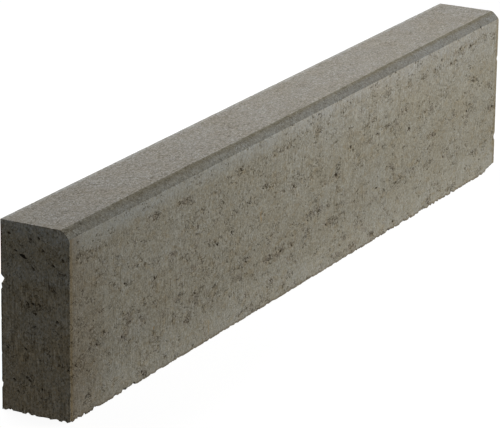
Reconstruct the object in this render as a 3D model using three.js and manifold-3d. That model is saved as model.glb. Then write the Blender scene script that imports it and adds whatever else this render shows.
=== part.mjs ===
// Concrete kerb stone (garden edging kerb): one block of dense concrete, pressed upright in a steel mould.
// It stands on its foot, as it is pressed, stored and laid. Sizes are in millimetres.
// +X runs along the stone, -Y is the exposed face, +Z is up. The origin is the middle of the foot.
import * as THREE from "three";
import { mergeVertices } from "three/addons/utils/BufferGeometryUtils.js";
import Module from "manifold-3d";

const wasm = await Module();
wasm.setup();

// ---- The block
const LENGTH = 1000;
const WIDTH = 80;
const HEIGHT = 200;

// ---- The exposed top arris: a 45 degree chamfer that rolls into the top and into the face
const CHAMFER = 8.5;
const CHAMFER_TOP_EASE = 9;
const CHAMFER_FACE_EASE = 2;

// ---- Radii that the mould leaves on the other arrises
const BACK_TOP_EASE = 1.5;
const END_TOP_EASE = 1;
const UPRIGHT_EASE = 2;
const FOOT_EASE = 1.2;
const EASE_SEGMENTS = 5;

// ---- Spalls: chips knocked off the arrises. A size is how far the break runs along X, Y and Z.
const BACK_SPALL = { below_top: 64, size: [9, 9, 15], turn: [0, 20, 25] };
const BACK_NICK = { below_top: 173, size: [6, 5, 8], turn: [15, 0, 40] };
const FACE_SPALL = { along: 114, size: [40, 11, 5], turn: [0, 3, 0] };
const FAR_FOOT_SPALL = { size: [56, 16, 13], turn: [0, 0, 4] };

// ---- The ragged foot: crumbs missing where the mix met the pallet
const CRUMB_PITCH = 17;
const CRUMB_REACH = 3.2;
const CRUMB_LENGTH = 11;
const CRUMB_SPREAD = 0.45;

// A stated run of numbers from 0 to 1 that looks uneven and is the same each time.
function unevenness(seed) {
  let state = seed;
  return () => {
    state = (state * 16807) % 2147483647;
    return state / 2147483647;
  };
}

// A closed outline through corners [x, y, easing radius], taken anticlockwise.
function easedOutline(corners) {
  const outline = new THREE.Shape();
  corners.forEach(([x, y, radius], i) => {
    const before = corners.at(i - 1);
    const after = corners[(i + 1) % corners.length];
    const corner = new THREE.Vector2(x, y);
    const arriving = new THREE.Vector2(x - before[0], y - before[1]).normalize();
    const leaving = new THREE.Vector2(after[0] - x, after[1] - y).normalize();
    const turn = Math.acos(arriving.dot(leaving));
    const tangent = radius * Math.tan(turn / 2);
    const start = corner.clone().addScaledVector(arriving, -tangent);
    const inward = new THREE.Vector2(-arriving.y, arriving.x);
    const centre = start.addScaledVector(inward, radius);
    const from = Math.atan2(-inward.y, -inward.x);
    outline.absarc(centre.x, centre.y, radius, from, from + turn, false);
  });
  outline.closePath();
  return outline;
}

// The outline pushed along its own +Z by depth, centred there, with its own axes laid along the given ones.
function extruded(outline, depth, axes) {
  const geometry = new THREE.ExtrudeGeometry(outline, {
    depth,
    bevelEnabled: false,
    curveSegments: EASE_SEGMENTS,
  });
  geometry.translate(0, 0, -depth / 2);
  return geometry.applyMatrix4(new THREE.Matrix4().makeBasis(...axes));
}

function solidOf(geometry) {
  geometry.deleteAttribute("normal");
  geometry.deleteAttribute("uv");
  const welded = mergeVertices(geometry, 1e-4);
  return new wasm.Manifold(
    new wasm.Mesh({
      numProp: 3,
      vertProperties: welded.attributes.position.array,
      triVerts: new Uint32Array(welded.index.array),
    }),
  );
}

// The block is what three profiles have in common: its section, its plan and its elevation.
function pressedBlock() {
  const along = new THREE.Vector3(1, 0, 0);
  const across = new THREE.Vector3(0, 1, 0);
  const up = new THREE.Vector3(0, 0, 1);
  const face = -WIDTH / 2;
  const back = WIDTH / 2;
  const end = LENGTH / 2;
  const section = easedOutline([
    [face, 0, FOOT_EASE],
    [back, 0, FOOT_EASE],
    [back, HEIGHT, BACK_TOP_EASE],
    [face + CHAMFER, HEIGHT, CHAMFER_TOP_EASE],
    [face, HEIGHT - CHAMFER, CHAMFER_FACE_EASE],
  ]);
  const plan = easedOutline([
    [-end, face, UPRIGHT_EASE],
    [end, face, UPRIGHT_EASE],
    [end, back, UPRIGHT_EASE],
    [-end, back, UPRIGHT_EASE],
  ]);
  const elevation = easedOutline([
    [-end, 0, FOOT_EASE],
    [end, 0, FOOT_EASE],
    [end, HEIGHT, END_TOP_EASE],
    [-end, HEIGHT, END_TOP_EASE],
  ]);
  const beam = solidOf(extruded(section, LENGTH, [across, up, along]));
  const column = solidOf(extruded(plan, 2 * HEIGHT, [along, across, up]));
  const slab = solidOf(extruded(elevation, WIDTH, [along, up, across.clone().negate()]));
  return beam.intersect(column).intersect(slab);
}

// A rough lump that a spall leaves behind as its hollow, turned in degrees and set at a place.
function spall(place, size, turn) {
  const lump = new THREE.IcosahedronGeometry(0.5, 0);
  lump.scale(...size);
  const turned = new THREE.Euler(...turn.map(THREE.MathUtils.degToRad));
  lump.applyMatrix4(new THREE.Matrix4().makeRotationFromEuler(turned));
  lump.translate(...place);
  return solidOf(lump);
}

function singleSpalls() {
  const face = -WIDTH / 2;
  const back = WIDTH / 2;
  const end = LENGTH / 2;
  return [
    spall([-end, back, HEIGHT - BACK_SPALL.below_top], BACK_SPALL.size, BACK_SPALL.turn),
    spall([-end, back, HEIGHT - BACK_NICK.below_top], BACK_NICK.size, BACK_NICK.turn),
    spall([-end + FACE_SPALL.along, face, 0], FACE_SPALL.size, FACE_SPALL.turn),
    spall([end, face, 0], FAR_FOOT_SPALL.size, FAR_FOOT_SPALL.turn),
  ];
}

// Crumbs missing along one foot arris, from one corner of the foot to the next.
function crumbsAlong(from, to, seed) {
  const next = unevenness(seed);
  const uneven = (size) => size * (1 + CRUMB_SPREAD * (2 * next() - 1));
  const run = to.clone().sub(from);
  const count = Math.floor(run.length() / CRUMB_PITCH);
  const heading = THREE.MathUtils.radToDeg(Math.atan2(run.y, run.x));
  return Array.from({ length: count }, (_, i) => {
    const share = (i + next()) / count;
    const place = from.clone().addScaledVector(run, share);
    const size = [uneven(CRUMB_LENGTH), uneven(CRUMB_REACH), uneven(CRUMB_REACH)];
    return spall([place.x, place.y, 0], size, [360 * next(), 0, heading]);
  });
}

function raggedFoot() {
  const corners = [
    [-1, -1],
    [1, -1],
    [1, 1],
    [-1, 1],
  ].map(([x, y]) => new THREE.Vector2((x * LENGTH) / 2, (y * WIDTH) / 2));
  return corners.flatMap((corner, i) => crumbsAlong(corner, corners[(i + 1) % 4], 71 + i));
}

function threeGeometry(solid) {
  const { vertProperties, triVerts } = solid.getMesh();
  const geometry = new THREE.BufferGeometry();
  geometry.setAttribute("position", new THREE.BufferAttribute(vertProperties, 3));
  geometry.setIndex(new THREE.BufferAttribute(triVerts, 1));
  geometry.computeVertexNormals();
  return geometry;
}

const concrete = new THREE.MeshStandardMaterial({
  name: "concrete",
  color: 0x8b877d,
  roughness: 0.93,
  metalness: 0,
  flatShading: true,
});

const stone = [...singleSpalls(), ...raggedFoot()].reduce(
  (block, chip) => block.subtract(chip),
  pressedBlock(),
);

const kerbStone = new THREE.Mesh(threeGeometry(stone), concrete);
kerbStone.name = "kerb_stone";

const kerb = new THREE.Group();
kerb.add(kerbStone);

export default kerb;
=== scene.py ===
"""A concrete kerb stone, dressed: the pressed block with its pitted faces, knocked arrises and ragged foot,
on a pale floor in soft studio light. Lengths are in metres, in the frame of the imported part."""

import math
import random

import bmesh
import bpy
import numpy as np
from mathutils import Euler, Matrix, Vector


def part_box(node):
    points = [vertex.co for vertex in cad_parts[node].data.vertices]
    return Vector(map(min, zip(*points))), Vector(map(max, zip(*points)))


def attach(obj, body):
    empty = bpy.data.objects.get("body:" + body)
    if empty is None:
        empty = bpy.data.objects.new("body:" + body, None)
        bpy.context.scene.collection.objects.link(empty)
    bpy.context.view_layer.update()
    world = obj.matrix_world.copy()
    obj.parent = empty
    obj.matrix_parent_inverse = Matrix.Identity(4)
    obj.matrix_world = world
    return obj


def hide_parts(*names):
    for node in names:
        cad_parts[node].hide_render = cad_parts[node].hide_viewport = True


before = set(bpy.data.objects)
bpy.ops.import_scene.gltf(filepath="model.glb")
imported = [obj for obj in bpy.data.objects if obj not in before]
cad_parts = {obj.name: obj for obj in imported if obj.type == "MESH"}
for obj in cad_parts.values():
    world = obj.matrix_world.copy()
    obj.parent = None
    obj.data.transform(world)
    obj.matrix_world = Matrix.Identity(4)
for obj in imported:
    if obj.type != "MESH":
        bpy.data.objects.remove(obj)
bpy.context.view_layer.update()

MM = 0.001
NODE = "kerb_stone"
LOW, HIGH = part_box(NODE)
LENGTH, WIDTH, HEIGHT = HIGH - LOW

# ---- The mould's edges: the chamfer on the exposed top arris, and the small radii everywhere else
CHAMFER = 8.5 * MM
CHAMFER_TOP_ROLL = 3.7 * MM
CHAMFER_FACE_ROLL = 2.4 * MM
ARRIS_ROLL = 1.1 * MM
BACK_ROLL = 0.6 * MM
SHARP = math.radians(60)

# ---- The mesh: how far apart its rows and columns lie, from what length on an edge by the foot is
# halved, and how far from its arris the foot is ragged. Two places less than a hair apart are the same,
# and a cut keeps to corners within its slack.
ROW = 2.3 * MM
COLUMN = 2.85 * MM
FOOT_ROW = 14 * MM
HALVED_FROM = ROW * 0.9
CRUMB_BAND = 8 * MM
HAIR = 0.001 * MM
CUT_SLACK = 0.02 * MM

# ---- The axes across and up, and how many steps an arris is cut or rolled in
ACROSS, UP = 1, 2
STRAIGHT, ROUND, FINELY_ROUND = 1, 2, 3

# ---- The bake map: the margin between the sides, and how squarely a face has to face along or up to
# count
MAP_MARGIN = 10 * MM
FACES_ALONG = 0.7
FACES_UP = 0.6

# ---- Chips knocked off the arrises. Each is centred at a distance from the near end, from the exposed
# face and above the foot, and reaches so far along X, Y and Z.
CHIPS = [
    ((-1, 83, 137.5), (8, 8, 4.8)),
    ((-1, 82, 130), (5, 4, 2.6)),
    ((-1, 81, 27), (3.5, 3, 4)),
    ((-1, 81.5, 60), (3, 2.1, 5)),
    ((-1, 81.5, 97), (3, 2.2, 4)),
    ((-1, 61, -2), (4, 6, 4)),
    ((-1, 26, -1), (3, 2, 2.6)),
    ((-1, 17, -1.5), (3, 4.5, 3.2)),
    ((-1, 7, -1), (3, 1.4, 3)),
    ((104, -1, -1), (5, 6, 3.2)),
    ((116, -2, -2), (13, 6, 3.4)),
    ((1002, -3, -2), (31, 12, 8.5)),
    ((1001, -1, 41), (3, 3, 5)),
    ((1001, -1, 141), (2.5, 2.5, 4)),
]

# ---- The slots that dragged stones left in the near end: the centre as above, the reach and the slope
SLOTS = [
    ((0, 53.8, 166), (7, 4.8, 1.4), 27),
    ((0, 60.6, 169.4), (3, 3.2, 0.9), 32),
]

# ---- The share of a chip or a slot that is its very centre
CENTRE = 1e-6

# ---- Runs of pits on the exposed face, by how far they lie below the top: from and to, from the near end
FACE_RUNS = {
    17: [(821, 825)],
    22: [(895, 930), (948, 975)],
    26: [(850, 862), (876, 900), (984, 990)],
    31: [(13, 50), (150, 167), (213, 240), (337, 353), (440, 460), (518, 532), (657, 675), (690, 700)],
    34: [(752, 772), (790, 798), (820, 828), (855, 876)],
    54: [(250, 264), (640, 646), (657, 664)],
    64: [(56, 62), (400, 428), (600, 606), (733, 750), (780, 800), (845, 851)],
    72: [(122, 134), (290, 296), (327, 372), (478, 488), (508, 520), (602, 607), (700, 721), (925, 952)],
    80: [(195, 208), (455, 495), (750, 757), (790, 818)],
    95: [(527, 555), (566, 576), (615, 634), (935, 948)],
    110: [(246, 252), (420, 426), (525, 531), (568, 572), (815, 822), (900, 935)],
    119: [(984, 1000), (700, 712)],
    125: [(62, 70), (114, 119), (408, 416), (500, 552), (710, 718)],
    134: [(36, 54), (140, 146), (214, 220), (345, 368), (572, 590), (776, 784)],
    142: [(0, 24), (92, 106), (238, 256), (728, 748), (758, 774), (845, 864)],
    146: [(264, 292), (400, 446), (455, 466), (540, 588), (684, 690), (798, 812)],
    152: [(4, 22), (246, 264), (340, 346), (868, 892)],
    164: [(230, 236), (324, 330), (456, 472), (928, 948)],
    175: [(358, 364), (414, 420), (808, 832)],
    181: [(30, 36), (64, 86), (456, 464)],
    191: [(658, 672), (714, 720), (754, 762), (800, 814), (870, 884), (930, 962)],
    192: [(2, 10), (134, 144), (358, 372), (394, 408), (474, 486), (532, 544), (562, 578), (602, 618)],
}

# ---- The deepest single pits of the exposed face, as distances from the near end and below the top
FACE_PITS = [
    (105, 85), (165, 97), (297, 98), (327, 93), (255, 67), (348, 29), (67, 125), (52, 133), (99, 139),
    (247, 137), (358, 136), (412, 145), (440, 146), (463, 146), (12, 142), (402, 61), (140, 191), (604, 72),
    (671, 73), (756, 86), (977, 86), (571, 94), (820, 113), (990, 119), (671, 137), (770, 140), (780, 133),
    (852, 146), (548, 146), (714, 127), (893, 22), (986, 24), (466, 79), (665, 190), (717, 191),
    (841, 24), (866, 33), (822, 31), (920, 25), (978, 88), (915, 105), (996, 121),
]

# ---- Pits of the near end, as distances from its back arris and below the top
END_PITS = [
    (72, 31), (61, 39), (37, 45), (37, 82), (44, 82), (31, 83), (39, 91), (7, 134), (29, 130), (45, 139),
    (29, 161), (15, 166), (47, 171), (60, 65), (66, 96), (78, 144), (35, 15), (44, 13), (64, 66), (49, 25),
    (56, 133), (20, 178), (32, 164), (10, 14),
]

# ---- How open the skin is: 0 or less is closed, 1 is well pitted, and more than 1 is a single deep pit.
# Lengths are in millimetres. A reach is how far a pit or a run fades, across and down, and a halo is the
# pitted skin round a single pit. The back and the far end have no list, only so many random runs.
TOP_OPEN = -0.75
TOP_STARTS = 15
STRIP_OPEN = -0.9
STRIP_ENDS = 30
STRIP_FADES = 12
END_LESS_OPEN = 0.12
SIDE_DEPTH = 5
FACE_RUN_OPEN = 0.85
FACE_PIT_OPEN = 3.6
FACE_PIT_REACH = (2.2, 1.75)
FACE_HALO_OPEN = 0.8
FACE_HALO_REACH = (3.6, 2.8)
BACK_RUN_OPEN = 0.8
BACK_RUN_REACH = (6, 4)
BACK_RUNS = 110
BACK_SEED = 5
END_PIT_OPEN = 3.8
END_PIT_REACH = (1.5, 1.2)
END_HALO_OPEN = 0.35
END_HALO_SPREAD = 4
FAR_END_RUN_OPEN = 1.2
FAR_END_RUNS = 12
FAR_END_SEED = 11
RUN_BANDS = [31, 72, 95, 125, 143, 164, 192]
RUN_BAND_SPREAD = 14
RANDOM_RUN = (1, 20)
OFF_SIDE = 10


def from_corner(place):
    """A place in millimetres from the near end, the exposed face and the foot, in the frame."""
    return LOW + Vector(place) * MM


# ------------------------------------------------------------------------------------------ the block


def edges_where(bm, wanted):
    """The edges that pass a test."""
    return [edge for edge in bm.edges if wanted(edge)]


def roll_edges(bm, edges, width, segments):
    """Rounds edges off, or cuts them straight where there is one segment."""
    bmesh.ops.bevel(
        bm,
        geom=edges,
        offset=width,
        offset_type="OFFSET",
        segments=segments,
        profile=0.5,
        affect="EDGES",
        material=-1,
        clamp_overlap=True,
    )


def on_line(edge, y=None, z=None):
    """Whether both ends of an edge lie at the given y and z."""
    at_y = y is None or all(abs(v.co.y - y) < HAIR for v in edge.verts)
    at_z = z is None or all(abs(v.co.z - z) < HAIR for v in edge.verts)
    return at_y and at_z


def pressed_block():
    """The block as it leaves the mould, with its chamfer and its small radii."""
    bm = bmesh.new()
    bmesh.ops.create_cube(bm, size=1, matrix=Matrix.LocRotScale((LOW + HIGH) / 2, None, HIGH - LOW))
    face, back, top = LOW.y, HIGH.y, HIGH.z

    def back_upright(edge):
        return on_line(edge, back) and edge.calc_length() < LENGTH / 2

    roll_edges(bm, edges_where(bm, lambda e: on_line(e, face, top)), CHAMFER, STRAIGHT)
    upper = edges_where(bm, lambda e: on_line(e, face + CHAMFER, top))
    roll_edges(bm, upper, CHAMFER_TOP_ROLL, FINELY_ROUND)
    lower = edges_where(bm, lambda e: on_line(e, face, top - CHAMFER))
    roll_edges(bm, lower, CHAMFER_FACE_ROLL, FINELY_ROUND)
    roll_edges(bm, edges_where(bm, back_upright), BACK_ROLL, ROUND)
    roll_edges(bm, edges_where(bm, lambda e: on_line(e, back, top)), BACK_ROLL, ROUND)
    roll_edges(bm, edges_where(bm, lambda e: e.calc_face_angle() > SHARP), ARRIS_ROLL, ROUND)
    return bm


def slice_rows(bm, axis):
    """Cuts the block across an axis, evenly between the levels where it already has corners."""
    levels = []
    for level in sorted(v.co[axis] for v in bm.verts):
        if not levels or level - levels[-1] > ROW / 2:
            levels.append(level)
    normal = Vector((0, 0, 0))
    normal[axis] = 1
    for start, stop in zip(levels, levels[1:]):
        count = max(1, round((stop - start) / ROW))
        for i in range(count):
            place = normal * (start + (stop - start) * i / count)
            everything = bm.verts[:] + bm.edges[:] + bm.faces[:]
            bmesh.ops.bisect_plane(bm, geom=everything, dist=CUT_SLACK, plane_co=place, plane_no=normal)


def cut_columns(bm):
    """Cuts every long edge of the block into columns."""
    long_edges = edges_where(bm, lambda e: e.calc_length() > LENGTH / 2)
    bmesh.ops.subdivide_edges(bm, edges=long_edges, cuts=round(LENGTH / COLUMN) - 1, use_grid_fill=True)


def thin_out_foot(bm):
    """Takes most rows out of the middle of the foot, which nothing shows."""
    keep = HIGH.y - CRUMB_BAND

    def spare(edge):
        a, b = (v.co for v in edge.verts)
        along_x = abs(a.y - b.y) < HAIR and max(a.z, b.z) < LOW.z + HAIR
        row = (a.y - LOW.y) / FOOT_ROW
        return along_x and abs(a.y) < keep and abs(row - round(row)) > ROW / FOOT_ROW / 2

    bmesh.ops.dissolve_edges(bm, edges=edges_where(bm, spare), use_verts=True, use_face_split=False)


def refine_foot_arris(bm):
    """Halves the level edges round the foot, where crumbs are missing."""
    inner = HIGH.y - CRUMB_BAND

    def to_halve(edge):
        a, b = (v.co for v in edge.verts)
        middle = (a + b) / 2
        at_wall = abs(middle.y) > inner or abs(middle.x) > HIGH.x - CRUMB_BAND
        level = abs(a.z - b.z) < HAIR
        return at_wall and level and middle.z < LOW.z + CRUMB_BAND and (a - b).length > HALVED_FROM

    bmesh.ops.subdivide_edges(bm, edges=edges_where(bm, to_halve), cuts=1, use_grid_fill=True)


def map_rows():
    """How high up the bake map each side starts: one above the other, with a margin between."""
    sides = {"face": HEIGHT, "back": HEIGHT, "top": WIDTH, "foot": WIDTH, "ends": HEIGHT}
    start = 0
    rows = {}
    for name, tall in sides.items():
        start += MAP_MARGIN
        rows[name] = start
        start += tall
    return rows


def add_bake_map(bm):
    """Lays the six sides flat beside each other on one map, all at the same scale."""
    side = LENGTH + 4 * MAP_MARGIN
    layer = bm.loops.layers.uv.new("OFBake")
    rows = map_rows()
    for f in bm.faces:
        faces_end, faces_level = abs(f.normal.x) > FACES_ALONG, abs(f.normal.z) > FACES_UP
        for loop in f.loops:
            x, y, z = loop.vert.co - LOW
            if faces_end:
                u = y + (WIDTH + MAP_MARGIN if f.normal.x > 0 else 0)
                v = z + rows["ends"]
            elif faces_level:
                u, v = x, y + rows["top" if f.normal.z > 0 else "foot"]
            else:
                u, v = x, z + rows["face" if f.normal.y < 0 else "back"]
            loop[layer].uv = ((u + MAP_MARGIN) / side, v / side)


# --------------------------------------------------------------------- where it is pitted and chipped


def near_run(across, down, start, stop, middle, reach_across=5.0, reach_down=5.0):
    """How near places are to a level run of pits: 1 on it, fading to 0 round it."""
    outside = np.maximum(np.maximum(start - across, across - stop), 0) / reach_across
    beside = (down - middle) / reach_down
    return np.exp(-(outside**2) - beside**2)


def near_pit(across, down, depth_in, pit, reach_across, reach_down):
    """How near places are to a single pit. Its middle moves to the closest corner of the mesh on its own
    side, so that the pit gets its whole depth."""
    apart = (across - pit[0]) ** 2 + (down - pit[1]) ** 2 + (OFF_SIDE * depth_in) ** 2
    middle = np.argmin(apart)
    start = across[middle]
    return near_run(across, down, start, start, down[middle], reach_across, reach_down)


def random_runs(seed, length, count):
    """Runs for a side that has no list of its own: most of them in the same few bands."""
    rng = random.Random(seed)
    for _ in range(count):
        start = rng.uniform(0, length)
        stop = start + rng.uniform(*RANDOM_RUN)
        yield start, stop, rng.choice(RUN_BANDS) + rng.uniform(-RUN_BAND_SPREAD, RUN_BAND_SPREAD)


def plain_openness(x, y, down, length):
    """How open the skin is away from its pits: closed on the top and in the strip under it, and a little
    more closed on the ends."""
    on_top = (down < 1) & (y > TOP_STARTS)
    on_end = (x < 1) | (x > length - 1)
    strip = np.clip((STRIP_ENDS - down) / STRIP_FADES, 0, 1)
    pitted = np.where(on_top, TOP_OPEN, STRIP_OPEN * strip)
    return np.where(on_end, pitted - END_LESS_OPEN, pitted)


def pitting(co):
    """How open the skin is at each place of the mesh."""
    x, y, z = ((co[:, i] - LOW[i]) / MM for i in range(3))
    length, width, height = (side / MM for side in (LENGTH, WIDTH, HEIGHT))
    down = height - z
    from_back = width - y
    pitted = plain_openness(x, y, down, length)

    def add(amount, depth_in):
        """Takes the larger amount, on the side whose plane is depth_in away."""
        np.maximum(pitted, amount * np.exp(-((depth_in / SIDE_DEPTH) ** 2)), out=pitted)

    for middle, stretches in FACE_RUNS.items():
        for start, stop in stretches:
            add(FACE_RUN_OPEN * near_run(x, down, start, stop, middle), y)
    for pit in FACE_PITS:
        add(FACE_PIT_OPEN * near_pit(x, down, y, pit, *FACE_PIT_REACH), y)
        add(FACE_HALO_OPEN * near_pit(x, down, y, pit, *FACE_HALO_REACH), y)
    for start, stop, middle in random_runs(BACK_SEED, length, BACK_RUNS):
        add(BACK_RUN_OPEN * near_run(x, down, start, stop, middle, *BACK_RUN_REACH), from_back)
    for pit in END_PITS:
        start, stop = pit[0] - END_HALO_SPREAD, pit[0] + END_HALO_SPREAD
        add(END_PIT_OPEN * near_pit(from_back, down, x, pit, *END_PIT_REACH), x)
        add(END_HALO_OPEN * near_run(from_back, down, start, stop, pit[1]), x)
    for start, stop, middle in random_runs(FAR_END_SEED, width, FAR_END_RUNS):
        add(FAR_END_RUN_OPEN * near_run(y, down, start, (start + stop) / 2, middle), length - x)
    return pitted


def knock_off(co, centre, reach, turn=0.0):
    """Moves the places inside a lump out to its surface, which leaves a hollow of the lump's shape. A place
    at its very centre has no way out and stays."""
    turned = np.array(Euler((math.radians(turn), 0, 0)).to_matrix())
    local = (co - np.array(centre)) @ turned / np.array(reach)
    away = np.linalg.norm(local, axis=1)
    inside = (away < 1) & (away > CENTRE)
    local[inside] /= away[inside, None]
    co[inside] = (local[inside] * np.array(reach)) @ turned.T + np.array(centre)


def chipped(co):
    """The places with the chips knocked off the arrises and the slots dragged into the near end."""
    co = co.copy()
    for centre, reach in CHIPS:
        knock_off(co, from_corner(centre), Vector(reach) * MM)
    for centre, reach, slope in SLOTS:
        knock_off(co, from_corner(centre), Vector(reach) * MM, slope)
    return co


# ----------------------------------------------------------------------- number fields, made of nodes


class Field:
    """Arithmetic and noise made of nodes. The same words work in a material and in a geometry tree, so that
    the dirt and painted shade of the hollows lie exactly where the surface is hollow."""

    def __init__(self, tree):
        self.tree = tree

    def node(self, kind, feeds=None, **settings):
        made = self.tree.nodes.new(kind)
        for name, value in settings.items():
            setattr(made, name, value)
        for socket, value in (feeds or {}).items():
            self.feed(made.inputs[socket], value)
        return made

    def feed(self, socket, value):
        if isinstance(value, bpy.types.NodeSocket):
            self.tree.links.new(value, socket)
        else:
            socket.default_value = value

    def math(self, operation, *values):
        return self.node("ShaderNodeMath", dict(enumerate(values)), operation=operation).outputs[0]

    def plus(self, a, b):
        return self.math("ADD", a, b)

    def times(self, a, b):
        return self.math("MULTIPLY", a, b)

    def less(self, a, b):
        return self.math("SUBTRACT", a, b)

    def larger(self, a, b):
        return self.math("MAXIMUM", a, b)

    def rise(self, value, start, stop):
        """0 up to start, 1 from stop on, smooth between them."""
        feeds = {0: value, 1: start, 2: stop, 3: 0.0, 4: 1.0}
        return self.node("ShaderNodeMapRange", feeds, interpolation_type="SMOOTHSTEP").outputs[0]

    def fall(self, value, start, stop):
        """1 up to start, 0 from stop on, smooth between them."""
        return self.less(1.0, self.rise(value, start, stop))

    def spread(self, value, low, high):
        """Maps 0..1 to low..high in a straight line."""
        feeds = {0: value, 1: 0.0, 2: 1.0, 3: low, 4: high}
        return self.node("ShaderNodeMapRange", feeds, clamp=False).outputs[0]

    def split(self, vector):
        return self.node("ShaderNodeSeparateXYZ", {0: vector}).outputs

    def vector(self, operation, *values):
        return self.node("ShaderNodeVectorMath", dict(enumerate(values)), operation=operation).outputs[0]

    def stretch(self, at, per_metre, shift):
        """Places scaled to so many units to the metre. Each shift gives a pattern of its own."""
        return self.vector("MULTIPLY_ADD", at, Vector(per_metre), Vector((shift, shift * 1.7, shift * 0.6)))

    def noise(self, at, per_metre, detail=2.0, roughness=0.5, shift=0.0, crooked=0.0):
        """Noise with so many waves to the metre along X, Y and Z, about 0.5 on average."""
        feeds = {"Vector": self.stretch(at, per_metre, shift), "Scale": 1.0, "Detail": detail}
        feeds.update({"Roughness": roughness, "Distortion": crooked})
        return self.node("ShaderNodeTexNoise", feeds).outputs[0]

    def wander(self, at, per_metre, reach):
        """Places moved about by up to a reach, which makes a regular pattern crooked."""
        feeds = {"Vector": at, "Scale": per_metre, "Detail": 1.0}
        moved = self.node("ShaderNodeTexNoise", feeds).outputs[1]
        by = self.vector("SUBTRACT", moved, (0.5, 0.5, 0.5))
        return self.vector("MULTIPLY_ADD", by, (4 * reach, 4 * reach, 4 * reach), at)

    def cells(self, at, per_metre, shift=0.0):
        """Of so many cells to the metre along X, Y and Z, how far the place is from the middle of its own,
        in cells, and three random numbers from 0 to 1."""
        feeds = {"Vector": self.stretch(at, per_metre, shift), "Scale": 1.0}
        cells = self.node("ShaderNodeTexVoronoi", feeds)
        return cells.outputs["Distance"], self.split(cells.outputs["Color"])

    def away(self, at, centre, reach, slope=0.0):
        """How far places are from the centre of a lump: 1 is on its surface."""
        feeds = {"Vector": at, "Location": centre, "Scale": reach}
        feeds["Rotation"] = (math.radians(slope), 0, 0)
        local = self.node("ShaderNodeMapping", feeds, vector_type="TEXTURE").outputs[0]
        return self.node("ShaderNodeVectorMath", {0: local}, operation="LENGTH").outputs["Value"]

    def mix(self, amount, a, b, blend="MIX"):
        """From colour a to colour b, or a blended with b."""
        made = self.node("ShaderNodeMix", data_type="RGBA", blend_type=blend)
        for socket, value in ((made.inputs[0], amount), (made.inputs[6], a), (made.inputs[7], b)):
            self.feed(socket, value)
        return made.outputs[2]


# ---- Where noise opens into marks. PITS_FROM, PINHOLE_SHARE and TEARS_FROM are for closed and for open
# skin, PINHOLE_SIZES are the smallest and the largest, and the other pairs are where a mark starts and
# ends. Each layer of pinholes has its cells to the metre and its shift.
PATCHES_OPEN = 3.4
PITS_FROM = (0.672, 0.580)
PIT_WALL = 0.032
# where the painted highlight round a pit starts and ends
LIP_HIGHLIGHT_STARTS = 0.05
LIP_HIGHLIGHT_ENDS = 0.01
PINHOLE_SIZES = (0.16, 0.50)
PINHOLE_SHARE = (0.09, 0.62)
PINHOLE_CELLS = (((170, 200, 270), 8.3), ((250, 320, 400), 11.6))
TEARS_FROM = (0.60, 0.44)
TEAR_ENDS = 0.06
TEAR_WALL = (0.006, 0.030)
RIBS_FROM = (0.38, 0.60)
# the ragged edge and the wall of the painted shade inside the slots
SLOT_RAGGED = 4.0
SLOT_WALL = (0.5, 1.1)


def openness(field, at, pitted):
    """How open the skin is: pitted where the stretches of pits run, and in small patches all over."""
    patches = field.noise(at, (56, 56, 80), detail=3, roughness=0.65, shift=9.4)
    return field.plus(pitted, field.times(field.less(patches, 0.5), PATCHES_OPEN))


def pits(field, at, opened):
    """How deep the pits are, 0 to 1: rare where the skin is closed, crowded where it is open. Then how near
    a place is to the lip round a pit, which gets a painted highlight."""
    hollow = field.noise(at, (165, 165, 275), detail=4, roughness=0.72, shift=3.1, crooked=0.8)
    start = field.spread(opened, *PITS_FROM)
    depth = field.rise(hollow, start, field.plus(start, PIT_WALL))
    beside = field.rise(hollow, field.less(start, LIP_HIGHLIGHT_STARTS), field.less(start, LIP_HIGHLIGHT_ENDS))
    return depth, field.times(beside, field.less(1.0, depth))


def pinholes(field, at, opened):
    """Small sharp holes, all over the sides and crowded round the pits."""
    deep = 0.0
    for per_metre, shift in PINHOLE_CELLS:
        away, (size, chance, _) = field.cells(field.wander(at, 330, 1.5 * MM), per_metre, shift)
        reach = field.spread(size, *PINHOLE_SIZES)
        hole = field.fall(away, field.times(reach, 0.5), reach)
        there = field.rise(field.less(field.spread(opened, *PINHOLE_SHARE), chance), 0.0, 0.06)
        deep = field.larger(deep, field.times(hole, there))
    return deep


def tears(field, at, opened):
    """Short crooked tears between the pits, where the dry mix dragged open."""
    wander = field.noise(at, (120, 120, 190), detail=2, shift=12.9, crooked=1.0)
    torn = field.fall(field.math("ABSOLUTE", field.less(wander, 0.5)), *TEAR_WALL)
    start = field.spread(opened, *TEARS_FROM)
    here = field.noise(at, (90, 90, 150), detail=2, roughness=0.6, shift=14.2)
    return field.times(torn, field.rise(here, start, field.plus(start, TEAR_ENDS)))


def dragged(field, at):
    """Fine upright ribs that the mould drew down the sides, in some places more than in others."""
    ribs = field.less(field.noise(at, (400, 480, 65), detail=2, shift=5.9), 0.5)
    here = field.noise(at, (16, 16, 22), detail=1, shift=16.1)
    return field.times(ribs, field.rise(here, *RIBS_FROM))


def slot_shade(field, at):
    """The painted shade inside the slots in the near end, 0 to 1."""
    ragged = field.less(field.noise(at, (260, 260, 330), detail=2, shift=21.5), 0.5)
    inside = 0.0
    for centre, reach, slope in SLOTS:
        away = field.away(at, from_corner(centre), Vector(reach) * MM, slope)
        away = field.plus(away, field.times(ragged, SLOT_RAGGED))
        inside = field.larger(inside, field.fall(away, *SLOT_WALL))
    return inside


def grains(field, at):
    """The sand in the skin: how much lighter and how much warmer than the rest each grain is."""
    light, warm = 0.0, 0.0
    for per_metre, share, shift in ((520, 0.7, 1.3), (270, 0.3, 5.2)):
        _, (lightness, warmth, _) = field.cells(at, (per_metre, per_metre * 1.6, per_metre * 1.1), shift)
        light = field.plus(light, field.times(field.less(lightness, 0.5), share))
        warm = field.plus(warm, field.times(field.less(warmth, 0.5), share))
    return light, warm


# ----------------------------------------------------------------------------------------- the relief

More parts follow.
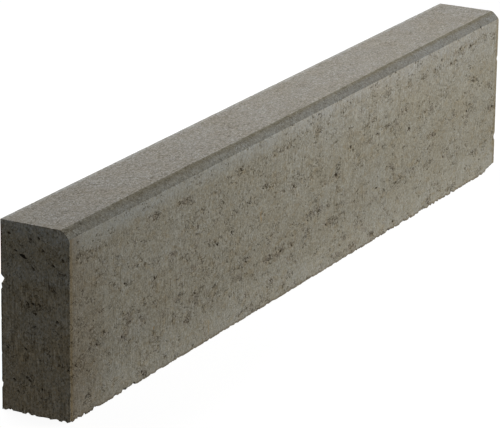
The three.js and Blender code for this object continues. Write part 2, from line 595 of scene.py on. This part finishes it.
PIT_DEPTH = 1.7 * MM
PINHOLE_DEPTH = 0.5 * MM
LUMP_DEPTH = 0.5 * MM
CRUMB_RISE = 3.6 * MM
CALM_CRUMB_RISE = 1.5 * MM
FAR_CRUMB_RISE = 3.6 * MM
CRUMBS_CALM_DOWN = (120 * MM, 170 * MM)
CRUMBS_GROW = (560 * MM, 680 * MM)


def sunk(field, at, pitted):
    """How far in the skin lies: under the pits and the pinholes, and a little unevenly all over."""
    opened = openness(field, at, pitted)
    lumps = field.less(field.noise(at, (48, 48, 60), detail=3, roughness=0.6, shift=1.4), 0.42)
    depth = field.plus(field.times(pits(field, at, opened)[0], PIT_DEPTH), field.times(lumps, LUMP_DEPTH))
    return field.plus(depth, field.times(pinholes(field, at, opened), PINHOLE_DEPTH))


def crumbled(field, at):
    """How far up the foot is broken away: furthest by the near end and along the far part."""
    x, _, z = field.split(at)
    from_end, above = field.less(x, LOW.x), field.less(z, LOW.z)
    crumbs = field.rise(field.noise(at, (120, 150, 60), detail=3, roughness=0.75, shift=6.9), 0.42, 0.70)
    near_foot = field.math("POWER", field.fall(above, 0.0, CRUMB_BAND), 1.5)
    lift = field.spread(field.rise(from_end, *CRUMBS_CALM_DOWN), CRUMB_RISE, CALM_CRUMB_RISE)
    grown = field.times(field.rise(from_end, *CRUMBS_GROW), FAR_CRUMB_RISE - CALM_CRUMB_RISE)
    lift = field.plus(lift, grown)
    return field.times(field.times(crumbs, near_foot), lift)


def relief_tree():
    """Sinks the pits into the surface and leaves the foot ragged."""
    tree = bpy.data.node_groups.new("concrete_relief", "GeometryNodeTree")
    for way in ("INPUT", "OUTPUT"):
        tree.interface.new_socket("Geometry", in_out=way, socket_type="NodeSocketGeometry")
    field = Field(tree)
    given, made = field.node("NodeGroupInput"), field.node("NodeGroupOutput")

    def stored(name, kind):
        return field.node("GeometryNodeInputNamedAttribute", {"Name": name}, data_type=kind).outputs[0]

    at, pitted = stored("cast_at", "FLOAT_VECTOR"), stored("pitted", "FLOAT")
    normal = field.node("GeometryNodeInputNormal").outputs[0]
    outward = field.times(sunk(field, at, pitted), -1.0)
    sinking = field.node("ShaderNodeVectorMath", {0: normal, 3: outward}, operation="SCALE").outputs[0]
    lifting = field.node("ShaderNodeCombineXYZ", {2: crumbled(field, at)}).outputs[0]
    offset = field.vector("ADD", sinking, lifting)
    moved = field.node("GeometryNodeSetPosition", {"Geometry": given.outputs[0], "Offset": offset})
    field.feed(made.inputs[0], moved.outputs[0])
    return tree


def with_relief(piece):
    """Gives the piece its relief for good."""
    relief = piece.modifiers.new("relief", "NODES")
    relief.node_group = relief_tree()
    shown = piece.evaluated_get(bpy.context.evaluated_depsgraph_get())
    finished = bpy.data.meshes.new_from_object(shown)
    for vertex in finished.vertices:
        vertex.co.z = max(vertex.co.z, LOW.z)
    piece.modifiers.clear()
    piece.data = finished


# ----------------------------------------------------------------------------------------- the finish

OLIVE = (0.320, 0.296, 0.231, 1)
BROWN = (0.225, 0.188, 0.138, 1)
LAITANCE = (0.365, 0.357, 0.312, 1)
FAR_LAITANCE = (0.392, 0.373, 0.326, 1)
DULL_LAITANCE = (0.345, 0.330, 0.292, 1)
TOP_TAN = (0.299, 0.279, 0.240, 1)
RIM_GREY = (0.375, 0.365, 0.330, 1)
STEEL_GREY = (0.226, 0.217, 0.182, 1)
FAR_STEEL_GREY = (0.202, 0.195, 0.171, 1)
# painted shadow, brown, for the line along the chamfer's upper edge
SHADOW_LINE_BROWN = (0.172, 0.155, 0.112, 1)
ARRIS_BROWN = (0.185, 0.140, 0.085, 1)
ARRIS_OCHRE = (0.210, 0.145, 0.050, 1)
END_TAN = (0.343, 0.296, 0.211, 1)
RUST = (0.36, 0.23, 0.08, 1)
FLECK_TAN = (0.300, 0.262, 0.185, 1)

# ---- How dull the concrete is, the same all over
ROUGHNESS = 0.92
SHEEN = 0.3

# ---- How much each colour covers of what lies under it. Laitance has a value for the near and for the
# far part, and the tan of the ends one for high up and one for low down. Ends are calmer, open skin
# keeps only a share of its laitance, and the stain is stronger low down.
BROWN_COVER = 0.75
CALMER_ON_END = 0.55
END_TAN_COVER = (0.15, 0.95)
FLECK_COVER = 0.8
LAITANCE_COVER = (0.9, 0.60)
OPEN_LAITANCE_COVER = 0.35
LOWER_LAITANCE_COVER = 0.3
PALE_LINE_COVER = 0.4
STAIN_COVER = 0.45
LOW_STAIN_MORE = 1.5
OCHRE_COVER = 0.5
FOOT_RIM_COVER = 0.65
BACK_ARRIS_COVER = 0.5

# ---- How strong the grain is on closed and on open skin, and how much that changes in some places. The
# calm strip under the top has a value for the near and for the far part.
GRAIN = (0.89, 1.20)
CALM_STRIP = (-0.47, -0.11)
NEAR_COARSER = 1.2
END_COARSER = 0.34
TOP_COARSER = 0.35
CHAMFER_COARSER = 0.2
END_RIBS = 1.5

# ---- How warm a colour is on the sides and on the ends, and how it turns brown as it darkens
WARMTH = (0.8, 1.9)
TINT_WARMTH = 1.1
RED_WARMTH = 0.07
BLUE_WARMTH = 0.13
GREEN_POWER = 1.08
BLUE_POWER = 1.27

# ---- How much light the marks add, and how much the hollows take away with their dirt and painted shade.
# The lip round a pit gets a painted highlight, and the long sides a painted floor bounce light low down.
# Mottle has a value for the sides and for the top, and the smooth top and chamfer keep only a share of the
# dark.
SAND_LIGHT = 0.45
FINE_LIGHT = 0.83
RIB_LIGHT = 0.75
LIP_HIGHLIGHT = 0.44
TINT_LIGHT = 0.2
MOTTLE_LIGHT = (0.27, 0.10)
END_MOTTLE_LESS = 0.10
# painted floor bounce light on the long sides, low down
FLOOR_BOUNCE_LIGHT = 0.20
PIT_DARK = 0.90
PINHOLE_DARK = 0.55
TEAR_DARK = 0.75
# painted shade inside the slots
SLOT_SHADE = 1.08
END_DARK = 0.03
SMOOTH_DARK = 0.5
MOST_DARK = 0.88
LEAST_LIGHT = 0.3

# ---- How high the fine marks stand, which only the shading shows
BUMP_STRENGTH = 0.7
BUMP_HEIGHT = 0.8 * MM
SAND_BUMP = 0.3
FINE_BUMP = 1.8
RIB_BUMP = 0.5
HOLLOW_BUMP = 1.5

# ---- Where the finish changes along the kerb, from its near end
FAR_PART = (250 * MM, 650 * MM)
LAITANCE_DULLS = (700 * MM, 860 * MM)
LAITANCE_THINS = (680 * MM, 860 * MM)
STAIN_FADES = (4 * MM, 98 * MM)
ARRIS_STAIN_FADES = (4 * MM, 32 * MM)
OCHRE_FADES = (1.5 * MM, 8 * MM)
FAR_OCHRE = 10 * MM
NEAR_SLOPE_FADES = (50 * MM, 110 * MM)
CHAMFER_NARROWS_AT = 470 * MM
CHAMFER_WIDENS = (120 * MM, 280 * MM)
CHAMFER_NARROWS_BY = 0.75 * MM

# ---- Where it changes down the kerb, from its top
TOP_FADES = (0.2 * MM, 1.0 * MM)
STRIP_STARTS = (CHAMFER, CHAMFER + 2 * MM)
CLOSED_FADES = (12 * MM, 31 * MM)
LOWER_LAITANCE_FADES = (28 * MM, 75 * MM)
CLOSED_WAVERS = 26 * MM
CLOSED_LESS_ON_END = 8 * MM
PALE_LINE = 52 * MM
PALE_LINE_FADES = (3 * MM, 12 * MM)
STAIN_GROWS = (90 * MM, 170 * MM)
END_TANS = (10 * MM, 170 * MM)
END_TAN_WAVERS = 120 * MM
# where the painted floor bounce light grows towards the foot of the long sides
FLOOR_BOUNCE_RISES = (HEIGHT - 60 * MM, HEIGHT - 5 * MM)
FOOT_RIM = (HEIGHT - 3.5 * MM, HEIGHT - 0.8 * MM)

# ---- Where the chamfer's finish fades out, first by the distances below the top and behind the face
# added up, then by the one below the top. Then the brown painted shadow line along its upper edge, which
# ends at one depth near and another far.
CHAMFER_CORNER_FADES = (CHAMFER + 1.9 * MM, CHAMFER + 2.7 * MM)
CHAMFER_FACE_FADES = (CHAMFER + 0.1 * MM, CHAMFER + 0.5 * MM)
SHADOW_LINE_STARTS = 0.5 * MM
SHADOW_LINE_ENDS = (6 * MM, 3.8 * MM)
SHADOW_LINE_WAVERS = 3 * MM
NEAR_SLOPE_UNSHADOWED = 0.4

# ---- Where it changes in from the ends and from the back
END_FADES = (0.2 * MM, 1.2 * MM)
TOP_RIM_FADES = (2.5 * MM, 6 * MM)
BACK_ARRIS_FADES = (1.4 * MM, 2.8 * MM)

# ---- Specks of rust on the exposed face: the distance from the near end and below the top, the reach up
# and down, and the strength. All reach equally far along the kerb and into it.
RUST_SPECKS = [(392.5, 94, 9, 0.85), (163, 150, 2.6, 0.6), (278, 186, 11, 0.4)]
RUST_ALONG = 2.2
RUST_IN = 2


def new_material(name):
    """A new material and its shader."""
    material = bpy.data.materials.new(name)
    material.use_nodes = True
    return material, material.node_tree.nodes["Principled BSDF"]


class Skin:
    """What the finish follows: where a place lies on the kerb, and what the concrete is like there."""

    def __init__(self, field):
        at = field.node("ShaderNodeAttribute", attribute_name="cast_at").outputs["Vector"]
        pitted = field.node("ShaderNodeAttribute", attribute_name="pitted").outputs["Fac"]
        self.at = at
        self.find_places(field)
        self.cloud = field.less(field.noise(at, (9, 9, 14), detail=3, shift=2.2), 0.5)
        self.tint = field.less(field.noise(at, (22, 22, 30), detail=2, shift=20.3), 0.5)
        self.mottle = field.less(field.noise(at, (60, 60, 90), detail=3, roughness=0.6, shift=7.7), 0.5)
        fine = field.noise(at, (440, 480, 340), detail=2, roughness=0.8, shift=4.4, crooked=0.7)
        self.fine = field.less(fine, 0.5)
        self.light, self.warm = grains(field, at)
        drawn = field.less(field.spread(self.on_end, 1.0, END_RIBS), self.on_top)
        self.ribbed = field.times(dragged(field, at), drawn)
        self.opened = openness(field, at, pitted)
        # the lip round each pit carries a painted highlight
        self.hollow, self.lip_highlight = pits(field, at, self.opened)
        # the closed strip wavers along the kerb, and is narrower on the ends
        under = field.plus(self.below_top, field.times(self.cloud, CLOSED_WAVERS))
        self.under = field.plus(under, field.times(self.on_end, CLOSED_LESS_ON_END))
        self.closed = field.fall(self.under, *CLOSED_FADES)
        self.on_chamfer = chamfer_slope(field, self)
        # dirt and painted shade in the hollows
        self.dirt_and_shade = hollow_dirt_and_shade(field, self)

    def find_places(self, field):
        """Distances from the sides of the kerb, and which side a place is on."""
        x, y, z = field.split(self.at)
        self.from_end = field.less(x, LOW.x)
        self.behind_face = field.less(y, LOW.y)
        self.before_back = field.less(HIGH.y, y)
        self.below_top = field.less(HIGH.z, z)
        self.far = field.rise(self.from_end, *FAR_PART)
        self.on_top = field.fall(self.below_top, *TOP_FADES)
        self.on_end = field.fall(field.less(HIGH.x, field.math("ABSOLUTE", x)), *END_FADES)
        self.off_end = field.less(1.0, self.on_end)


def chamfer_slope(field, skin):
    """Which places are on the chamfer. It looks a little narrower half way along."""
    corner = field.plus(skin.below_top, skin.behind_face)
    from_narrow = field.math("ABSOLUTE", field.less(skin.from_end, CHAMFER_NARROWS_AT))
    narrowed = field.fall(from_narrow, *CHAMFER_WIDENS)
    corner = field.plus(corner, field.times(narrowed, CHAMFER_NARROWS_BY))
    slope = field.fall(corner, *CHAMFER_CORNER_FADES)
    above_face = field.fall(skin.below_top, *CHAMFER_FACE_FADES)
    return field.times(field.times(slope, above_face), skin.off_end)


def hollow_dirt_and_shade(field, skin):
    """How dark the hollows are: the pits, the pinholes, the tears and the slots. The dark is dirt and
    painted shade in the pits, pinholes and tears, and painted shade only in the slots.
    """
    holes = pinholes(field, skin.at, skin.opened)
    torn = tears(field, skin.at, skin.opened)
    dirt_and_shade = field.larger(field.times(skin.hollow, PIT_DARK), field.times(holes, PINHOLE_DARK))
    dirt_and_shade = field.larger(dirt_and_shade, field.times(torn, TEAR_DARK))
    share = field.spread(field.larger(skin.on_top, skin.on_chamfer), 1.0, SMOOTH_DARK)
    dirt_and_shade = field.times(dirt_and_shade, share)
    return field.larger(dirt_and_shade, field.times(slot_shade(field, skin.at), SLOT_SHADE))


def open_sides(field, skin):
    """The sides: olive, brown in patches and where they are pitted, tan down the ends, with tan flecks."""
    stain = field.plus(field.times(skin.cloud, 1.2), field.times(skin.mottle, 1.6))
    brown = field.rise(field.plus(stain, field.times(skin.opened, 0.5)), 0.05, 0.9)
    calmer = field.spread(skin.on_end, 1.0, CALMER_ON_END)
    colour = field.mix(field.times(brown, field.times(calmer, BROWN_COVER)), OLIVE, BROWN)
    down = field.plus(skin.below_top, field.times(skin.mottle, END_TAN_WAVERS))
    tanned = field.spread(field.rise(down, *END_TANS), *END_TAN_COVER)
    colour = field.mix(field.times(skin.on_end, tanned), colour, END_TAN)
    flecks = field.noise(skin.at, (80, 80, 120), detail=3, roughness=0.6, shift=18.8)
    flecks = field.rise(field.plus(flecks, field.times(skin.opened, 0.03)), 0.56, 0.64)
    return field.mix(field.times(flecks, field.times(calmer, FLECK_COVER)), colour, FLECK_TAN)


def with_laitance(field, skin, colour):
    """Adds the pale closed skin under the top, and the pale line across the ends."""
    laitance = field.mix(skin.far, LAITANCE, FAR_LAITANCE)
    laitance = field.mix(field.rise(skin.from_end, *LAITANCE_DULLS), laitance, DULL_LAITANCE)
    thinned = field.spread(field.rise(skin.from_end, *LAITANCE_THINS), *LAITANCE_COVER)
    lower = field.fall(skin.under, *LOWER_LAITANCE_FADES)
    skinned = field.times(lower, field.times(skin.far, LOWER_LAITANCE_COVER))
    skinned = field.larger(skinned, field.times(skin.closed, thinned))
    kept = field.spread(field.rise(skin.opened, 0.3, 0.9), 1.0, OPEN_LAITANCE_COVER)
    skinned = field.times(skinned, kept)
    from_line = field.math("ABSOLUTE", field.less(skin.below_top, PALE_LINE))
    line = field.times(field.fall(from_line, *PALE_LINE_FADES), skin.on_end)
    skinned = field.larger(skinned, field.times(line, PALE_LINE_COVER))
    return field.mix(skinned, colour, laitance)


def with_stained_arrises(field, skin, colour):
    """Adds the brown by the near end, the ochre of the upright arrises and the brown rim of the foot."""
    near = field.times(field.fall(skin.from_end, *STAIN_FADES), field.less(1.0, skin.closed))
    near = field.larger(field.times(near, 0.8), field.fall(skin.from_end, *ARRIS_STAIN_FADES))
    near = field.times(near, field.spread(field.rise(skin.below_top, *STAIN_GROWS), 1.0, LOW_STAIN_MORE))
    colour = field.mix(field.times(near, field.times(skin.off_end, STAIN_COVER)), colour, ARRIS_BROWN)
    far_arris = field.rise(skin.from_end, LENGTH - FAR_OCHRE, LENGTH)
    arris = field.larger(field.fall(skin.from_end, *OCHRE_FADES), far_arris)
    colour = field.mix(field.times(arris, field.times(skin.off_end, OCHRE_COVER)), colour, ARRIS_OCHRE)
    rim = field.rise(skin.below_top, *FOOT_RIM)
    return field.mix(field.times(rim, field.times(skin.off_end, FOOT_RIM_COVER)), colour, ARRIS_BROWN)


def with_top(field, skin, colour):
    """Adds the tan top, the paler rim along its back and the brown back arris of the ends."""
    colour = field.mix(skin.on_top, colour, TOP_TAN)
    rim = field.fall(skin.before_back, *TOP_RIM_FADES)
    colour = field.mix(field.times(rim, skin.on_top), colour, RIM_GREY)
    browned = field.fall(skin.before_back, *BACK_ARRIS_FADES)
    browned = field.times(browned, field.times(skin.on_end, BACK_ARRIS_COVER))
    return field.mix(browned, colour, ARRIS_BROWN)


def with_chamfer(field, skin, colour):
    """Adds the chamfer: grey from the steel of the mould, with a brown painted shadow line along its upper
    edge.
    """
    # painted shadow: the brown line along the chamfer's upper edge, fainter by the near end
    down = field.plus(skin.below_top, field.times(skin.mottle, SHADOW_LINE_WAVERS))
    unshadowed = field.rise(down, SHADOW_LINE_STARTS, field.spread(skin.far, *SHADOW_LINE_ENDS))
    near = field.fall(skin.from_end, *NEAR_SLOPE_FADES)
    unshadowed = field.larger(unshadowed, field.times(near, NEAR_SLOPE_UNSHADOWED))
    steel = field.mix(skin.far, STEEL_GREY, FAR_STEEL_GREY)
    return field.mix(skin.on_chamfer, colour, field.mix(unshadowed, SHADOW_LINE_BROWN, steel))


def coarseness(field, skin):
    """How strongly the grain shows: less in the closed strip under the top, more where the skin is open, by
    the near end, and on the ends, the top and the chamfer."""
    coarse = field.spread(field.rise(skin.opened, -0.3, 0.7), *GRAIN)
    closed_side = field.times(skin.closed, field.rise(skin.below_top, *STRIP_STARTS))
    calm = field.times(closed_side, field.spread(skin.far, *CALM_STRIP))
    coarse = field.times(coarse, field.plus(calm, 1.0))
    coarse = field.times(coarse, field.spread(skin.far, NEAR_COARSER, 1.0))
    coarse = field.times(coarse, field.spread(skin.on_end, 1.0, 1.0 + END_COARSER))
    coarse = field.times(coarse, field.spread(skin.on_top, 1.0, 1.0 + TOP_COARSER))
    return field.times(coarse, field.spread(skin.on_chamfer, 1.0, 1.0 + CHAMFER_COARSER))


def brightness(field, skin):
    """How much lighter or darker than its plain colour each place is: dirt and painted shade in the
    hollows, a painted highlight on the lip round each pit, and painted floor bounce light low on the long
    sides.
    """
    grain = field.plus(field.times(skin.light, SAND_LIGHT), field.times(skin.fine, FINE_LIGHT))
    grain = field.plus(grain, field.times(skin.ribbed, RIB_LIGHT))
    mottled = field.spread(skin.on_top, *MOTTLE_LIGHT)
    mottled = field.less(mottled, field.times(skin.on_end, END_MOTTLE_LESS))
    mottled = field.times(skin.mottle, mottled)
    shade = field.plus(field.plus(field.times(grain, coarseness(field, skin)), mottled), 1.0)
    # painted highlight on the lip round each pit
    shade = field.plus(shade, field.times(skin.lip_highlight, LIP_HIGHLIGHT))
    dimmed = field.plus(field.times(skin.tint, TINT_LIGHT), field.times(skin.on_end, END_DARK))
    shade = field.less(shade, dimmed)
    # painted floor bounce light: the long sides lighter low down, as if lit from the floor
    floor_bounce = field.rise(skin.below_top, *FLOOR_BOUNCE_RISES)
    shade = field.plus(shade, field.times(floor_bounce, field.times(skin.off_end, FLOOR_BOUNCE_LIGHT)))
    return field.times(field.larger(shade, LEAST_LIGHT), field.less(1.0, field.times(skin.dirt_and_shade, MOST_DARK)))


def with_light_and_dark(field, skin, colour):
    """Lightens and darkens the colour. What is dark turns brown, and some grains are warmer than others."""
    shade = brightness(field, skin)
    warm = field.plus(skin.warm, field.times(skin.tint, TINT_WARMTH))
    warm = field.times(warm, field.spread(skin.on_end, *WARMTH))
    red = field.times(shade, field.plus(field.times(warm, RED_WARMTH), 1.0))
    green = field.math("POWER", shade, GREEN_POWER)
    blue = field.math("POWER", shade, BLUE_POWER)
    blue = field.times(blue, field.less(1.0, field.times(warm, BLUE_WARMTH)))
    tinted = field.node("ShaderNodeCombineColor", {0: red, 1: green, 2: blue}).outputs[0]
    return field.mix(1.0, colour, tinted, "MULTIPLY")


def with_rust(field, skin, colour):
    """Adds the specks and streaks of rust."""
    for along, down, tall, strength in RUST_SPECKS:
        place = from_corner((along, 0, HEIGHT / MM - down))
        away = field.away(skin.at, place, Vector((RUST_ALONG, RUST_IN, tall)) * MM)
        colour = field.mix(field.times(field.fall(away, 0.3, 1.0), strength), colour, RUST)
    return colour


def fine_bumps(field, skin):
    """The shading of what is too fine for the mesh: sand, ribs and the edges of the hollows."""
    height = field.plus(field.times(skin.light, SAND_BUMP), field.times(skin.fine, FINE_BUMP))
    height = field.plus(height, field.times(skin.ribbed, RIB_BUMP))
    height = field.less(height, field.times(skin.dirt_and_shade, HOLLOW_BUMP))
    feeds = {"Height": height, "Strength": BUMP_STRENGTH, "Distance": BUMP_HEIGHT}
    return field.node("ShaderNodeBump", feeds).outputs[0]


def concrete():
    """Dry grey concrete: sandy, ribbed down the sides, brown where pitted and closed just under the top."""
    material, shader = new_material("concrete")
    field = Field(material.node_tree)
    skin = Skin(field)
    colour = open_sides(field, skin)
    layers = (with_laitance, with_stained_arrises, with_top, with_chamfer, with_light_and_dark, with_rust)
    for layer in layers:
        colour = layer(field, skin, colour)
    field.feed(shader.inputs["Base Color"], colour)
    field.feed(shader.inputs["Normal"], fine_bumps(field, skin))
    shader.inputs["Roughness"].default_value = ROUGHNESS
    shader.inputs["Specular IOR Level"].default_value = SHEEN
    return material


# ------------------------------------------------------------------------------------------ the piece


def mesh_from(bm, name):
    """The finished mesh of a bmesh."""
    mesh = bpy.data.meshes.new(name)
    bm.to_mesh(mesh)
    bm.free()
    return mesh


def put_in_scene(name, data):
    """A new object of that name, in the scene."""
    made = bpy.data.objects.new(name, data)
    bpy.context.scene.collection.objects.link(made)
    return made


def cast_mesh():
    """The block's mesh, cut finely enough to be pitted and chipped, with its bake map."""
    bm = pressed_block()
    slice_rows(bm, UP)
    slice_rows(bm, ACROSS)
    cut_columns(bm)
    thin_out_foot(bm)
    refine_foot_arris(bm)
    bm.normal_update()
    add_bake_map(bm)
    return mesh_from(bm, "kerb_block")


def mark_and_chip(mesh):
    """Stores where each corner of the mesh was cast and how pitted it is, then knocks the chips off."""
    co = np.empty(len(mesh.vertices) * 3)
    mesh.vertices.foreach_get("co", co)
    cast_at = co.reshape(-1, 3)
    mesh.attributes.new("cast_at", "FLOAT_VECTOR", "POINT").data.foreach_set("vector", cast_at.ravel())
    mesh.attributes.new("pitted", "FLOAT", "POINT").data.foreach_set("value", pitting(cast_at))
    mesh.vertices.foreach_set("co", chipped(cast_at).ravel())
    mesh.shade_smooth()
    mesh.update()


def kerb_block():
    """The whole kerb: one casting in one piece."""
    mesh = cast_mesh()
    mark_and_chip(mesh)
    block = put_in_scene("kerb_block", mesh)
    with_relief(block)
    block.data.materials.clear()
    block.data.materials.append(concrete())
    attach(block, "root")
    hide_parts(NODE)
    return block


# ----------------------------------------------------------------------------------------- the studio

FLOOR_REACH = 20
FLOOR_GREY = (0.15, 0.15, 0.15, 1)
FLOOR_GLOW = 0.93
WHITE = (1, 1, 1, 1)
ROOM_LIGHT = 0.159
BACKDROP_LIGHT = 0.95

# ---- Each softbox: its name, its place, its side and its radiance
SOFTBOXES = [
    ("key_softbox", (0.451, -0.885, 0.62), 1.0, 3.39),
    ("top_softbox", (0.219, 0.91, 1.086), 1.2, 3.53),
]

# ---- The camera: its place, the angles in degrees that it looks from and is rolled by, and its lens,
# which is given as a focal length in pixels of an image of the width below
CAMERA_PLACE = (-3.0662, -1.6310, 1.1983)
CAMERA_AZIMUTH = -61.522
CAMERA_ELEVATION = 17.971
CAMERA_ROLL = 0.741
SENSOR_WIDTH = 36
IMAGE_WIDTH = 500
FOCAL_PIXELS = 3274.5
CLIP_END = 100


def floor():
    """A plain pale table, lit evenly from within so that it stays pale and throws nothing on the kerb."""
    bm = bmesh.new()
    level = Matrix.Translation((0, 0, LOW.z))
    bmesh.ops.create_grid(bm, x_segments=1, y_segments=1, size=FLOOR_REACH, matrix=level)
    material, shader = new_material("pale_floor")
    shader.inputs["Base Color"].default_value = FLOOR_GREY
    shader.inputs["Roughness"].default_value = 1.0
    shader.inputs["Specular IOR Level"].default_value = 0.0
    shader.inputs["Emission Color"].default_value = WHITE
    shader.inputs["Emission Strength"].default_value = FLOOR_GLOW
    plane = put_in_scene("floor", mesh_from(bm, "floor"))
    plane.data.materials.append(material)
    plane.visible_diffuse = False
    plane.visible_glossy = False


def softbox(name, place, side, radiance):
    """A square light aimed at the middle of the kerb."""
    light = bpy.data.lights.new(name, "AREA")
    light.size = side
    light.energy = radiance * math.pi * side * side
    lamp = put_in_scene(name, light)
    lamp.location = place
    lamp.rotation_euler = (Vector(place) - (LOW + HIGH) / 2).to_track_quat("Z", "Y").to_euler()
    lamp.visible_camera = False


def surroundings():
    """A dim even room, which the camera sees as a pale backdrop."""
    world = bpy.data.worlds.new("room")
    world.use_nodes = True
    bpy.context.scene.world = world
    field = Field(world.node_tree)
    background = world.node_tree.nodes["Background"]
    background.inputs["Color"].default_value = WHITE
    seen = field.node("ShaderNodeLightPath").outputs["Is Camera Ray"]
    field.feed(background.inputs["Strength"], field.spread(seen, ROOM_LIGHT, BACKDROP_LIGHT))


def camera():
    """A long lens, high and off the near end."""
    data = bpy.data.cameras.new("camera")
    data.sensor_width = SENSOR_WIDTH
    data.lens = SENSOR_WIDTH * FOCAL_PIXELS / IMAGE_WIDTH
    data.clip_end = CLIP_END
    angles = (CAMERA_AZIMUTH, CAMERA_ELEVATION, CAMERA_ROLL)
    azimuth, elevation, roll = (math.radians(angle) for angle in angles)
    level = math.cos(elevation)
    back = Vector((math.sin(azimuth) * level, -math.cos(azimuth) * level, math.sin(elevation)))
    eye = put_in_scene("camera", data)
    eye.location = CAMERA_PLACE
    eye.rotation_euler = (back.to_track_quat("Z", "Y") @ Euler((0, 0, roll)).to_quaternion()).to_euler()
    bpy.context.scene.camera = eye


kerb_block()
floor()
for box in SOFTBOXES:
    softbox(*box)
surroundings()
camera()
bpy.context.scene.view_settings.view_transform = "Standard"
